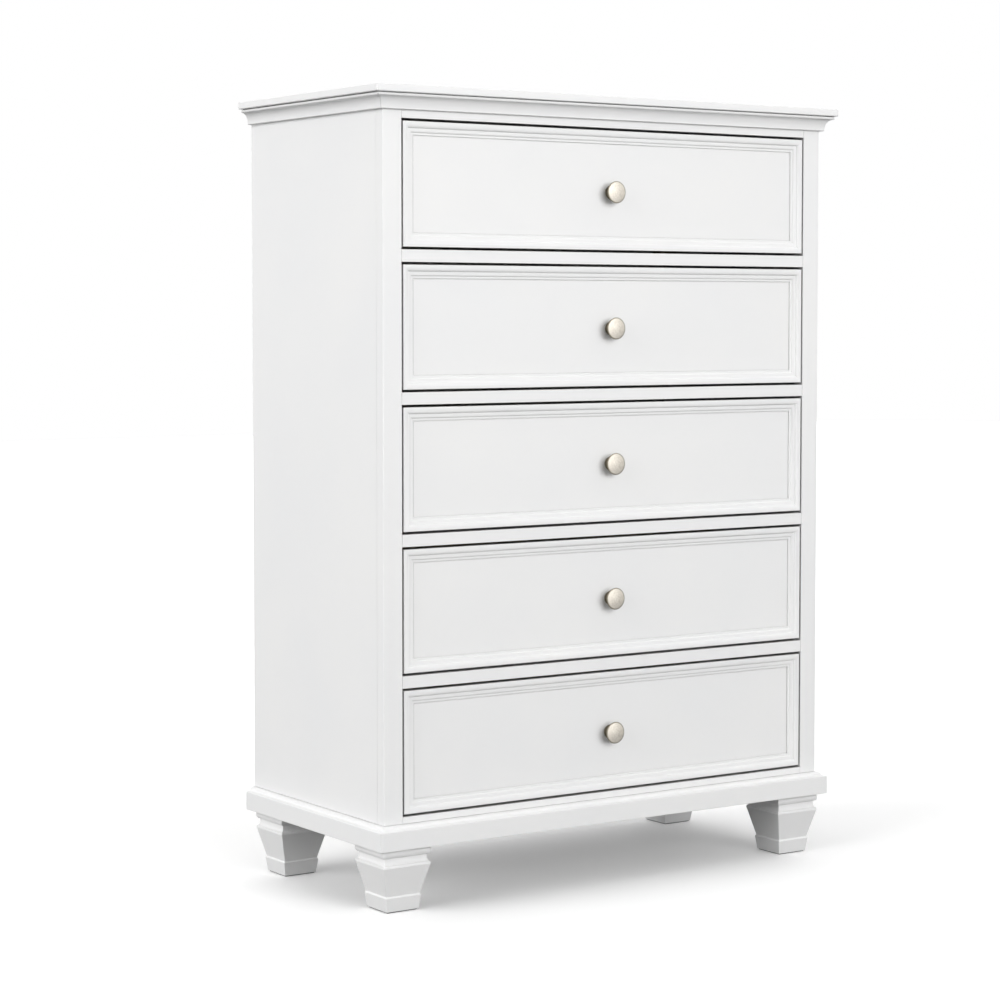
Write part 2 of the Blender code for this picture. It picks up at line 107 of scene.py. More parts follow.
# Knobs. Each width is a radius, and each height is from the drawer's panel.
KNOB_RIM_HEIGHT = 0.0165
KNOB_RIM_THICKNESS = 0.0020
KNOB_DOME_EDGE = 0.0011
KNOB_NECK = 0.0080
KNOB_NECK_TOP = 0.0110
KNOB_FLANGE = 0.0110
KNOB_FLANGE_HEIGHT = 0.0024
KNOB_FACE = 0.0163  # radius of the pale face; beyond it the rim carries painted reflection and painted shade
KNOB_TURN_STEPS = 72

# Nails round the back panel.
NAIL_MARGIN = 0.0045
NAIL_COLUMNS = 8
NAIL_ROWS = 11

# Painted shade: the paint's colour is darkened in narrow gaps, where little light gets in. Open sky
# is the share of the surroundings, within this reach, that a spot of the surface sees.
PAINTED_SHADE_REACH = 0.016
PAINTED_SHADE_DARKEST_SKY = 0.03  # darkest painted shade below this
PAINTED_SHADE_CLEAR_SKY = 0.22  # no painted shade above this
# the colour of the painted shade in the deepest gaps
PAINTED_SHADE_COLOUR = (0.12, 0.11, 0.10, 1.0)

# Floor. Each shade is a share of white.
FLOOR_HALF_WIDTH = 14
FLOOR_CORNER_RADIUS = 3.0
FLOOR_THICKNESS = 0.001
SEEN_FLOOR_HEIGHT = -0.0001
SEEN_FLOOR_SHADE = 0.93
BOUNCE_FLOOR_HEIGHT = -0.0030
BOUNCE_FLOOR_SHADE = 0.16
# Painted light: the seen floor glows, a little near the chest, which lightens the shadow there, and
# more far off.
NEAR_GLOW, FAR_GLOW = 0.12, 0.34
GLOW_START, GLOW_END = 0.5, 2.0  # how far from the chest's middle each glow is

# World. Its light on the chest, against the white that the camera sees behind the chest.
WORLD_LIGHT = 1.28
WORLD_DIM = 0.17
WORLD_AZIMUTH = 141.0  # where the world is brightest
WORLD_ELEVATION = -14.0

# Camera, at the photo's viewing angle. Angles are in degrees.
CAMERA_SENSOR = 36.0
CAMERA_LENS = 93.46
CAMERA_SHIFT = -0.045
CAMERA_PLACE = (-2.4921, -3.5634, 0.9217)
CAMERA_TILT_DOWN = 3.080
CAMERA_TURN = -34.013


# Materials.


class Recipe:
    """A material made of nodes, with short ways to add and link them."""

    def __init__(self, name, colour, roughness, metallic=0.0):
        self.material = bpy.data.materials.new(name)
        self.material.use_nodes = True
        self.tree = self.material.node_tree
        self.shader = self.tree.nodes["Principled BSDF"]
        self.set(self.shader, {"Base Color": (*colour, 1.0)})
        self.set(self.shader, {"Roughness": roughness, "Metallic": metallic})

    def set(self, node, inputs):
        """Give a node's inputs their values, or link them to other nodes' outputs."""
        for socket, value in inputs.items():
            if isinstance(value, bpy.types.NodeSocket):
                self.tree.links.new(value, node.inputs[socket])
            else:
                node.inputs[socket].default_value = value

    def node(self, kind, inputs, **settings):
        """Add a shader node, with its inputs and its settings."""
        made = self.tree.nodes.new("ShaderNode" + kind)
        for name, value in settings.items():
            setattr(made, name, value)
        self.set(made, inputs)
        return made

    def places(self, scale, turn=(0.0, 0.0, 0.0)):
        """The piece's own coordinates, scaled along each axis."""
        origin = self.node("TexCoord", {}).outputs["Object"]
        inputs = {"Vector": origin, "Scale": scale, "Rotation": turn}
        return self.node("Mapping", inputs).outputs["Vector"]

    def noise(self, scale, detail=3.0, roughness=0.5, distortion=0.0):
        """Noise in the piece's own coordinates, mostly within 0.3 to 0.7."""
        inputs = {
            "Vector": self.places(scale),
            "Scale": 1.0,
            "Detail": detail,
            "Roughness": roughness,
            "Distortion": distortion,
        }
        return self.node("TexNoise", inputs).outputs["Fac"]

    def spread(self, value, low, high, start=0.3, end=0.7):
        """Map a value from start..end to low..high."""
        inputs = {"Value": value, "From Min": start, "From Max": end, "To Min": low, "To Max": high}
        return self.node("MapRange", inputs).outputs["Result"]

    def ramp(self, value, stops):
        """A colour by value, from (place, colour) stops."""
        made = self.node("ValToRGB", {"Fac": value})
        elements = made.color_ramp.elements
        while len(elements) < len(stops):
            elements.new(0.5)
        for element, (place, colour) in zip(elements, stops):
            element.position = place
            element.color = (*colour, 1.0)
        return made.outputs["Color"]

    def math(self, operation, first, second):
        """The result of one sum on two values."""
        return self.node("Math", {0: first, 1: second}, operation=operation).outputs["Value"]

    def mix(self, factor, first, second, blend="MIX"):
        """Two colours, mixed or blended."""
        made = self.node("Mix", {}, data_type="RGBA", blend_type=blend)
        self.set(made, {0: factor, 6: first, 7: second})
        return made.outputs[2]

    def bump(self, height, distance, strength=1.0, under=None):
        """A normal bent by a height, on top of another bump where one is given."""
        inputs = {"Height": height, "Distance": distance, "Strength": strength}
        if under is not None:
            inputs["Normal"] = under
        return self.node("Bump", inputs).outputs["Normal"]

    def finish(self, **inputs):
        """Set or link the shader's own inputs, and give the material."""
        self.set(self.shader, {name.replace("_", " "): value for name, value in inputs.items()})
        return self.material


def same(scale):
    """One number for all three axes or colours."""
    return (scale, scale, scale)


def white_paint():
    """Sprayed satin lacquer: faint clouding, orange peel, and sheen that varies a little.

    Painted shade: the colour is darkened in narrow gaps, where little light reaches.
    """
    recipe = Recipe("white_satin_paint", (0.80, 0.80, 0.80), 0.36)
    cloud = recipe.noise(same(5.0), detail=4.0)
    fine = recipe.noise(same(60.0), detail=3.0)
    peel = recipe.noise(same(420.0), detail=2.0)
    speck = recipe.noise(same(2600.0), detail=1.0)
    colour = recipe.ramp(cloud, ((0.35, (0.795, 0.797, 0.799)), (0.65, (0.812, 0.811, 0.807))))
    # Painted shade: the colour darkens where the surface sees little open sky, as in narrow gaps.
    shut_in = {"Distance": PAINTED_SHADE_REACH}
    open_sky = recipe.node("AmbientOcclusion", shut_in, samples=4).outputs["AO"]
    unshaded = recipe.spread(open_sky, 0.0, 1.0, PAINTED_SHADE_DARKEST_SKY, PAINTED_SHADE_CLEAR_SKY)
    colour = recipe.mix(unshaded, PAINTED_SHADE_COLOUR, colour)
    roughness = recipe.spread(fine, 0.33, 0.42)
    waves = recipe.bump(peel, 0.00004, 0.6)
    normal = recipe.bump(speck, 0.000006, 0.5, under=waves)
    return recipe.finish(Base_Color=colour, Roughness=roughness, Normal=normal)


def wood(name, along, pale, dark):
    """Hardwood with its grain along one axis, 0 to 2."""
    recipe = Recipe(name, pale, 0.5)

    def stretched(across, length):
        scale = [across, across, across]
        scale[along] = length
        return tuple(scale)

    figure = recipe.noise(stretched(22.0, 1.6), detail=4.0, distortion=0.9)
    streaks = recipe.noise(stretched(170.0, 5.0), detail=5.0, roughness=0.6)
    pores = recipe.noise(stretched(1500.0, 60.0), detail=1.0)
    middle = tuple((a + b) / 2 for a, b in zip(pale, dark))
    broad = recipe.ramp(figure, ((0.25, pale), (0.52, middle), (0.60, pale), (0.80, dark)))
    fine = recipe.ramp(streaks, ((0.30, same(0.86)), (0.62, same(1.0))))
    specks = recipe.ramp(pores, ((0.28, same(0.72)), (0.40, same(1.0))))
    colour = recipe.mix(1.0, broad, fine, "MULTIPLY")
    colour = recipe.mix(0.7, colour, specks, "MULTIPLY")
    roughness = recipe.spread(streaks, 0.44, 0.60)
    grain = recipe.bump(streaks, 0.00012, 0.5)
    normal = recipe.bump(pores, 0.00006, 0.5, under=grain)
    return recipe.finish(Base_Color=colour, Roughness=roughness, Normal=normal)


def plywood():
    """Birch-faced plywood, with its plies on the edges."""
    recipe = Recipe("birch_ply", (0.66, 0.50, 0.33), 0.55)
    figure = recipe.noise((1.3, 9.0, 9.0), detail=5.0, distortion=1.6)
    streaks = recipe.noise((7.0, 240.0, 240.0), detail=4.0)
    face = recipe.ramp(
        figure,
        (
            (0.30, (0.70, 0.54, 0.36)),
            (0.46, (0.60, 0.43, 0.26)),
            (0.52, (0.72, 0.56, 0.38)),
            (0.70, (0.63, 0.46, 0.29)),
        ),
    )
    lines = recipe.ramp(streaks, ((0.35, same(0.88)), (0.60, same(1.0))))
    face = recipe.mix(1.0, face, lines, "MULTIPLY")
    up = recipe.node("SeparateXYZ", {"Vector": recipe.node("NewGeometry", {}).outputs["Normal"]})
    flatness = recipe.math("ABSOLUTE", up.outputs["Z"], 0.0)
    height = recipe.node("SeparateXYZ", {"Vector": recipe.places(same(1.0))}).outputs["Z"]
    ply = recipe.math("PINGPONG", recipe.math("MULTIPLY", height, 830.0), 1.0)
    edge = recipe.ramp(ply, ((0.35, (0.30, 0.19, 0.10)), (0.60, (0.64, 0.47, 0.29))))
    colour = recipe.mix(recipe.spread(flatness, 0.0, 1.0, 0.4, 0.6), edge, face)
    normal = recipe.bump(streaks, 0.00008, 0.5)
    roughness = recipe.spread(figure, 0.50, 0.62)
    return recipe.finish(Base_Color=colour, Roughness=roughness, Normal=normal)


def hardboard():
    """Thin fibreboard with a printed off-white face: fibres show faintly through it."""
    recipe = Recipe("white_hardboard", (0.66, 0.65, 0.62), 0.6)
    cloud = recipe.noise(same(7.0), detail=5.0)
    fibres = recipe.noise((160.0, 160.0, 900.0), detail=4.0, distortion=2.5)
    specks = recipe.noise(same(700.0), detail=1.0)
    base = recipe.ramp(cloud, ((0.3, (0.640, 0.630, 0.600)), (0.7, (0.680, 0.672, 0.645))))
    threads = recipe.ramp(fibres, ((0.30, (0.90, 0.885, 0.86)), (0.55, same(1.0))))
    dots = recipe.ramp(specks, ((0.22, (0.72, 0.68, 0.62)), (0.30, same(1.0))))
    colour = recipe.mix(1.0, base, threads, "MULTIPLY")
    colour = recipe.mix(0.6, colour, dots, "MULTIPLY")
    normal = recipe.bump(fibres, 0.00005, 0.5)
    roughness = recipe.spread(cloud, 0.52, 0.66)
    return recipe.finish(Base_Color=colour, Roughness=roughness, Normal=normal)


def satin_nickel():
    """Warm satin nickel: a pale face of fine grain, with its turned edge and back coloured dark as
    painted reflection and painted shade.
    """
    recipe = Recipe("warm_satin_nickel", (0.80, 0.755, 0.67), 0.45, metallic=1.0)
    own = recipe.places(same(1.0))
    rings = recipe.node(
        "TexWave",
        {"Vector": own, "Scale": 900.0, "Distortion": 1.5, "Detail": 2.0},
        wave_type="RINGS",
        rings_direction="Z",
    ).outputs["Fac"]
    grain = recipe.noise(same(620.0), detail=2.0)
    face = recipe.ramp(grain, ((0.38, (0.64, 0.595, 0.525)), (0.62, (0.80, 0.76, 0.69))))
    parts = recipe.node("SeparateXYZ", {"Vector": own}).outputs
    across = recipe.node("CombineXYZ", {"X": parts["X"], "Y": parts["Y"]}).outputs["Vector"]
    radius = recipe.node("VectorMath", {0: across}, operation="LENGTH").outputs["Value"]
    # Painted reflection and painted shade: the rim's edge and the back behind it get a dark colour.
    outer = recipe.spread(radius, 0.0, 1.0, KNOB_FACE - 0.0006, KNOB_FACE + 0.0002)
    behind = recipe.spread(parts["Z"], 1.0, 0.0, KNOB_RIM_HEIGHT - 0.0005, KNOB_RIM_HEIGHT)
    edge = recipe.math("MAXIMUM", outer, behind)
    colour = recipe.mix(edge, face, (0.30, 0.27, 0.21, 1.0))
    roughness = recipe.spread(rings, 0.55, 0.65, 0.0, 1.0)
    waves = recipe.bump(rings, 0.000004, 0.5)
    normal = recipe.bump(grain, 0.00008, 0.6, under=waves)
    return recipe.finish(Base_Color=colour, Roughness=roughness, Normal=normal)


def zinc_steel():
    """Bright zinc-plated steel for screws, bolts and nails."""
    recipe = Recipe("zinc_plated_steel", (0.62, 0.62, 0.60), 0.34, metallic=1.0)
    cloud = recipe.noise(same(500.0), detail=3.0)
    colour = recipe.ramp(cloud, ((0.35, (0.56, 0.57, 0.58)), (0.65, (0.68, 0.67, 0.62))))
    roughness = recipe.spread(cloud, 0.26, 0.46)
    return recipe.finish(Base_Color=colour, Roughness=roughness)


def felt():
    """Dark grey pressed felt."""
    recipe = Recipe("grey_felt", (0.05, 0.05, 0.05), 0.95)
    fibres = recipe.noise(same(1800.0), detail=3.0, distortion=2.0)
    colour = recipe.ramp(fibres, ((0.3, same(0.035)), (0.7, same(0.085))))
    normal = recipe.bump(fibres, 0.0001, 0.8)
    return recipe.finish(Base_Color=colour, Normal=normal)


def floor_surface(name, shade, painted_glow):
    """A matt floor of one shade. With painted glow it gives off light that grows away from the
    chest: painted light that lightens the chest's shadow on it and whitens the far floor.
    """
    recipe = Recipe(name, same(shade), 0.75)
    cloud = recipe.noise(same(1.5), detail=4.0)
    colour = recipe.ramp(cloud, ((0.3, same(shade - 0.005)), (0.7, same(shade + 0.005))))
    if painted_glow:
        # Painted light: the floor's glow grows with the distance from the chest.
        distance = recipe.node("VectorMath", {0: recipe.places(same(1.0))}, operation="LENGTH")
        away = distance.outputs["Value"]
        glow = recipe.spread(away, NEAR_GLOW, FAR_GLOW, GLOW_START, GLOW_END)
        recipe.finish(Emission_Color=(1.0, 1.0, 1.0, 1.0), Emission_Strength=glow)
    return recipe.finish(Base_Color=colour)


# Shapes.


def arc(start, end, level_start, steps=8):
    """Points after start, along a quarter of an ellipse that ends at end.

    It leaves start along the first axis where level_start is true, and otherwise along
    the second, and reaches end along the other one.
    """
    across, up = end[0] - start[0], end[1] - start[1]
    points = []
    for step in range(1, steps + 1):
        angle = math.pi / 2 * step / steps
        rise, run = math.sin(angle), 1 - math.cos(angle)
        if not level_start:
            rise, run = run, rise
        points.append((start[0] + across * rise, start[1] + up * run))
    return points


def loft(rings):
    """One closed skin through rings of points, with a flat cap on the first and last."""
    bm = bmesh.new()
    rows = [[bm.verts.new(point) for point in ring] for ring in rings]
    for row, next_row in zip(rows, rows[1:]):
        for index, vertex in enumerate(row):
            following = (index + 1) % len(row)
            bm.faces.new((vertex, row[following], next_row[following], next_row[index]))
    bm.faces.new(rows[0])
    bm.faces.new(rows[-1])
    bmesh.ops.recalc_face_normals(bm, faces=bm.faces)
    return bm


def rounded_ring(low, high, radius, height, steps=4):
    """A rectangle in plan from low to high (x, y), with rounded corners.

    The corners start at high and go round anticlockwise. A list gives each its own radius.
    """
    corners = ((high[0], high[1]), (low[0], high[1]), (low[0], low[1]), (high[0], low[1]))
    radii = [radius] * 4 if isinstance(radius, float) else radius
    points = []
    for quarter, ((x, y), bend) in enumerate(zip(corners, radii)):
        middle_x = x - math.copysign(bend, x - (low[0] + high[0]) / 2)
        middle_y = y - math.copysign(bend, y - (low[1] + high[1]) / 2)
        for step in range(steps + 1):
            angle = math.pi / 2 * (quarter + step / steps)
            reach_x, reach_y = bend * math.cos(angle), bend * math.sin(angle)
            points.append(Vector((middle_x + reach_x, middle_y + reach_y, height)))
    return points


def mesh_of(name, bm):
    """A mesh made from a bmesh, which is freed."""
    mesh = bpy.data.meshes.new(name)
    bm.to_mesh(mesh)
    bm.free()
    return mesh


def carved(mesh, cutter):
    """The mesh with a cutter's mesh taken out of it."""
    solid = bpy.data.objects.new("carved", mesh)
    tool = bpy.data.objects.new("cutter", cutter)
    for item in (solid, tool):
        bpy.context.scene.collection.objects.link(item)
    cut = solid.modifiers.new("cut", "BOOLEAN")
    cut.operation = "DIFFERENCE"
    cut.object = tool
    graph = bpy.context.evaluated_depsgraph_get()
    result = bpy.data.meshes.new_from_object(solid.evaluated_get(graph))
    for item in (solid, tool):
        bpy.data.objects.remove(item)
    result.name = mesh.name
    return result


def joined(meshes_and_places):
    """One mesh of many copies, each put in place by a matrix."""
    bm = bmesh.new()
    for mesh, place in meshes_and_places:
        before = len(bm.verts)
        bm.from_mesh(mesh)
        bm.verts.ensure_lookup_table()
        bmesh.ops.transform(bm, matrix=place, verts=bm.verts[before:])
    return bm


def add_piece(name, mesh, material, body, stands_for=(), place=None, sharp=32.0):
    """Put a new mesh in the scene, riding on a body, with smooth curves and crisp arrises."""
    mesh.materials.clear()
    mesh.materials.append(material)
    mesh.polygons.foreach_set("use_smooth", [True] * len(mesh.polygons))
    mesh.set_sharp_from_angle(angle=math.radians(sharp))
    piece = bpy.data.objects.new(name, mesh)
    bpy.context.scene.collection.objects.link(piece)
    if place is not None:
        piece.matrix_world = place
    even = piece.modifiers.new("flat_faces_stay_flat", "WEIGHTED_NORMAL")
    even.keep_sharp = True
    even.weight = 100
    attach(piece, body)
    if stands_for:
        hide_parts(*stands_for)
    return piece


def ease_board(node, material, width):
    """Give a board of the frame its finish, and ease its arrises."""
    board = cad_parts[node]
    for slot in board.material_slots:
        slot.material = material
    weld = board.modifiers.new("weld", "WELD")
    weld.merge_threshold = 0.00001
    bevel = board.modifiers.new("eased", "BEVEL")
    bevel.width = width
    bevel.segments = 3
    bevel.limit_method = "ANGLE"
    bevel.angle_limit = math.radians(30)
    even = board.modifiers.new("flat_faces_stay_flat", "WEIGHTED_NORMAL")
    even.weight = 100


# Pieces of the case.


def add_top():
    """The top board, with eased edges all round."""
    radius = TOP_EDGE_RADIUS
    lower = (radius, TOP_LOW.z)
    upper = (0.0, TOP_HIGH.z - radius)
    profile = [lower, *arc(lower, (0.0, TOP_LOW.z + radius), level_start=True, steps=5)]
    profile += [upper, *arc(upper, (radius, TOP_HIGH.z), level_start=False, steps=6)]
    rings = []
    for inset, height in profile:
        low = (TOP_LOW.x + inset, TOP_LOW.y + inset)
        high = (TOP_HIGH.x - inset, TOP_HIGH.y - inset)
        rings.append(rounded_ring(low, high, TOP_CORNER_RADIUS, height))
    mesh = mesh_of("top_board", loft(rings))
    add_piece("top_board", mesh, PAINT, "case", ["top_panel"])


def cornice_section():
    """(out, height) round the cornice: a shadow gap, a half-round bead and a cove."""
    low, high = CORNICE_LOW.z, CORNICE_HIGH.z
    out = FRONT_Y - CORNICE_LOW.y
    ease = CORNICE_EASE
    bead_back = out - CORNICE_BEAD_RADIUS
    bead_top = (bead_back, high - CORNICE_GAP)
    bead_middle = (out, bead_top[1] - CORNICE_BEAD_RADIUS)
    bead_foot = (COVE_TOP_PROJECTION, bead_middle[1] - CORNICE_BEAD_RADIUS)
    foot = (COVE_FOOT_PROJECTION, low + 2 * ease)
    section = [(SEAM, low), (COVE_FOOT_PROJECTION - 4 * ease, low)]
    section += [(COVE_FOOT_PROJECTION - ease, low + ease), foot]
    section += arc(foot, bead_foot, level_start=False, steps=14)
    section += arc(bead_foot, bead_middle, level_start=True, steps=7)
    section += arc(bead_middle, bead_top, level_start=False, steps=7)
    gap_back = bead_back - CORNICE_GAP_DEPTH
    section += [(gap_back, high - CORNICE_GAP), (gap_back, high), (SEAM, high)]
    return section


def add_cornice():
    """Three lengths, mitred where they meet at the front corners."""
    section = cornice_section()
    gap = SEAM / math.sqrt(2)
    lengths = {
        "front": [
            [(side * (BODY_HALF + out - gap), FRONT_Y - out, z) for out, z in section]
            for side in (-1, 1)
        ]
    }
    for name, side in SIDES:
        x = side * BODY_HALF
        lengths[name] = [
            [(x + side * out, FRONT_Y - out + gap, z) for out, z in section],
            [(x + side * out, BACK_Y, z) for out, z in section],
        ]
    for name, rings in lengths.items():
        piece = f"cornice_{name}_moulding"
        mesh = mesh_of(piece, loft(rings))
        add_piece(piece, mesh, PAINT, "case", [f"cornice_{name}"])


def add_base():
    """The base board: a plain face, then a fillet and an ogee up to the case."""
    radius = BASE_EDGE_RADIUS
    low, high = BASE_LOW.z, BASE_HIGH.z
    face_top = low + BASE_FACE_HEIGHT
    mould = high - face_top

    def at(inset, height):
        return (BASE_PROJECTION * inset, face_top + mould * height)

    profile = [(radius, low), *arc((radius, low), (0.0, low + radius), level_start=True, steps=4)]
    profile += [at(0.0, -0.12), *arc(at(0.0, -0.12), at(0.09, 0.06), level_start=False, steps=5)]
    profile += [at(0.16, 0.08), *arc(at(0.16, 0.08), at(0.50, 0.46), level_start=True)]
    profile += arc(at(0.50, 0.46), at(0.97, 0.97), level_start=False)
    profile += [at(1.0, 1.0)]
    rings = []
    for inset, height in profile:
        x = BASE_HIGH.x - inset
        front = BASE_LOW.y + inset
        ring = rounded_ring((-x, front), (x, BASE_HIGH.y), BASE_CORNER_RADIUS, height, steps=3)
        rings.append(ring)
    mesh = mesh_of("base_board", loft(rings))
    add_piece("base_board", mesh, PAINT, "case", ["base_panel"])


def add_stiles():
    """The face frame's uprights, rounded at the case's front corners."""
    corner, ease = STILE_CORNER_RADIUS, STILE_EASE
    radii = {"left": (ease, ease, corner, ease), "right": (ease, ease, ease, corner)}
    for side, _ in SIDES:
        low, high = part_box(f"stile_{side}")
        profile = ((ease, low.z), (0.0, low.z + ease), (0.0, high.z - ease), (ease, high.z))
        rings = []
        for inset, z in profile:
            inner = (low.x + inset, low.y + inset)
            outer = (high.x - inset, high.y - inset)
            rings.append(rounded_ring(inner, outer, radii[side], z))
        piece = f"stile_{side}_board"
        mesh = mesh_of(piece, loft(rings))
        add_piece(piece, mesh, PAINT, "case", [f"stile_{side}"])


def foot_section(top, bead):
    """(half width, height) down a foot: spacer, bead, neck, ledge, taper and band."""
    bead_top = top - FOOT_SPACER_HEIGHT
    bead_low = top - FOOT_BEAD_HEIGHT
    shoulder = (FOOT_BEAD_SHOULDER, bead_top)
    bead_middle = (bead, (bead_top + bead_low) / 2)
    bead_foot = (FOOT_BEAD_SHOULDER - 0.001, bead_low)
    neck = (FOOT_NECK, top - FOOT_NECK_DROP)
    ledge = (FOOT_LEDGE - 0.0007, top - FOOT_LEDGE_DROP)
    section = [(FOOT_SPACER, top), (FOOT_SPACER, bead_top), shoulder]
    section += arc(shoulder, bead_middle, level_start=True)
    section += arc(bead_middle, bead_foot, level_start=False)
    section += [(FOOT_NECK, bead_low - 0.0008), neck]
    section += arc(neck, ledge, level_start=False)
    section += [
        (FOOT_LEDGE, ledge[1] - FOOT_LEDGE_HEIGHT + 0.0006),
        (FOOT_LEDGE - 0.0006, ledge[1] - FOOT_LEDGE_HEIGHT),
        (FOOT_TAPER, FOOT_BAND_HEIGHT + FOOT_BAND_CHAMFER),
        (FOOT_BAND - 0.0004, FOOT_BAND_HEIGHT + 0.0005),
        (FOOT_BAND, FOOT_BAND_HEIGHT - 0.0003),
        (FOOT_SOLE, GLIDE_HEIGHT + 0.0006),
        (FOOT_SOLE - 0.0006, GLIDE_HEIGHT),
    ]
    return section


def add_feet():
    """Each foot, on a thin felt glide."""
    for row in ("front", "back"):
        for side, _ in SIDES:
            node = f"foot_{row}_{side}"
            low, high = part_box(node)
            middle = (low + high) / 2

            def square(half, height):
                inner = (middle.x - half, middle.y - half)
                outer = (middle.x + half, middle.y + half)
                return rounded_ring(inner, outer, FOOT_CORNER_RADIUS, height)

            section = foot_section(high.z, (high.x - low.x) / 2)
            piece = node + "_shaped"
            mesh = mesh_of(piece, loft([square(*point) for point in section]))
            add_piece(piece, mesh, PAINT, "case", [node])
            pad = FOOT_SOLE - GLIDE_INSET
            section = ((pad - GLIDE_EDGE, 0.0), (pad, GLIDE_EDGE), (pad, GLIDE_HEIGHT))
            piece = node + "_glide"
            mesh = mesh_of(piece, loft([square(*point) for point in section]))
            add_piece(piece, mesh, FELT, "case")


# Pieces of the drawers.


def border_section():
    """(inset, height) from a front's rounded edge in to its panel; height 0 is the land.

    Inwards come a narrow land, an ovolo, a fillet, a smaller ovolo, a second fillet and a
    thin groove round the panel. Past the edge, the points are shares of the border's width
    and of the panel's depth.
    """

    def at(inset, depth):
        return (BORDER_WIDTH * inset, -PANEL_RECESS * depth)

    edge = (0.0, -FRONT_EDGE_RADIUS)
    section = [edge, *arc(edge, (FRONT_EDGE_RADIUS, 0.0), level_start=False, steps=5)]
    section += [at(0.17, 0.0), *arc(at(0.17, 0.0), at(0.44, 0.40), level_start=True)]
    section += [at(0.46, 0.50), at(0.61, 0.51)]
    section += arc(at(0.61, 0.51), at(0.74, 0.74), level_start=True, steps=5)
    section += [at(0.76, 0.80), at(0.895, 0.81), at(0.905, 0.86), at(0.91, 1.14)]
    section += [at(0.952, 1.14), at(0.960, 1.02), at(0.980, 1.0)]
    return section


def add_front(number):
    """A front with a moulded, mitred border round a recessed flat panel.

    A groove for the drawer's bottom runs along its inner face.
    """
    node = f"drawer_{number}_front"
    low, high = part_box(node)
    profile = [(FRONT_BACK_EASE, high.y), (0.0, high.y - FRONT_BACK_EASE)]
    profile += [(inset, low.y - height) for inset, height in border_section()]
    corners = ((1, 1), (-1, 1), (-1, -1), (1, -1))
    middle = (low + high) / 2
    half = (high - low) / 2 - Vector((0.0, 0.0, FRONT_RELIEF))
    rings = [
        [
            (middle.x + x * (half.x - inset), y, middle.z + z * (half.z - inset))
            for x, z in corners
        ]
        for inset, y in profile
    ]
    piece = f"drawer_{number}_face"
    mesh = mesh_of(piece, loft(rings))
    bottom_low, bottom_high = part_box(f"drawer_{number}_bottom")
    reach = Vector((SEAM, 0.0, SEAM))
    groove_low = bottom_low - reach - Vector((0.0, SEAM, 0.0))
    past_back = 0.01
    groove_high = Vector((bottom_high.x, high.y + past_back, bottom_high.z)) + reach
    mesh = carved(mesh, block(groove_low, groove_high))
    add_piece(piece, mesh, PAINT, f"drawer_{number}", [node], sharp=28.0)


def block(low, high):
    """A rectangular cutter."""
    rings = [
        [(low.x, low.y, z), (high.x, low.y, z), (high.x, high.y, z), (low.x, high.y, z)]
        for z in (low.z, high.z)
    ]
    return mesh_of("block", loft(rings))


def turned(section, steps=KNOB_TURN_STEPS):
    """A skin turned about Z from (radius, height) points, first and last capped flat."""
    rings = []
    for radius, height in section:
        ring = []
        for step in range(steps):
            angle = 2 * math.pi * step / steps
            ring.append((radius * math.cos(angle), radius * math.sin(angle), height))
        rings.append(ring)
    return loft(rings)


def knob_section(rim, top):
    """(radius, height) from the middle of the domed face round to the foot of the flange."""
    dome_edge = (rim - KNOB_DOME_EDGE, KNOB_RIM_HEIGHT + KNOB_DOME_EDGE / 2)
    rim_middle = (rim, KNOB_RIM_HEIGHT - 0.0002)
    rim_back = (rim - KNOB_RIM_THICKNESS / 2, KNOB_RIM_HEIGHT - KNOB_RIM_THICKNESS / 2)
    neck_foot = (KNOB_NECK, KNOB_FLANGE_HEIGHT * 2)
    flange = (KNOB_FLANGE, KNOB_FLANGE_HEIGHT)
    dome_steps = 12
    cap = 0.3  # the flat cap in the middle, as a share of a step
    section = []
    for step in range(dome_steps):
        share = (step + cap) / dome_steps
        drop = (top - dome_edge[1]) * share**2
        section.append((dome_edge[0] * share, top - drop))
    section += [dome_edge, *arc(dome_edge, rim_middle, level_start=True, steps=5)]
    section += arc(rim_middle, rim_back, level_start=False, steps=4)
    section += arc(rim_back, (KNOB_NECK, KNOB_NECK_TOP), level_start=True, steps=12)
    section += [neck_foot, *arc(neck_foot, flange, level_start=False, steps=5)]
    section += [(KNOB_FLANGE, SEAM)]
    return section


def add_knob(number):
    """The turned knob, with its axis along Y."""
    node = f"drawer_{number}_knob"
    low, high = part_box(node)
    rim = (high.x - low.x) / 2
    panel_y = high.y + SEAM
    place = Matrix.Translation(((low.x + high.x) / 2, panel_y, (low.z + high.z) / 2))
    place = place @ Matrix.Rotation(math.pi / 2, 4, "X")
    piece = f"drawer_{number}_pull"
    mesh = mesh_of(piece, turned(knob_section(rim, panel_y - low.y)))
    body = f"drawer_{number}"
    add_piece(piece, mesh, NICKEL, body, [node], place, sharp=40.0)


# Fixings.


def cross_cutter(reach, width, depth, top):
    """A cross-shaped driver recess, narrowing downwards."""
    rings = []
    for share, height in ((0.35, top - depth), (1.0, top + 0.0002)):
        arm = reach * (0.45 + 0.55 * share)
        half = width / 2 * (0.7 + 0.3 * share)
        ring = []
        for quarter in range(4):
            turn = Matrix.Rotation(math.pi / 2 * quarter, 3, "Z")
            for x, y in ((half, half), (half, arm), (-half, arm)):
                ring.append(turn @ Vector((x, y, 0.0)) + Vector((0.0, 0.0, height)))
        rings.append(ring)
    return mesh_of("cross", loft(rings))


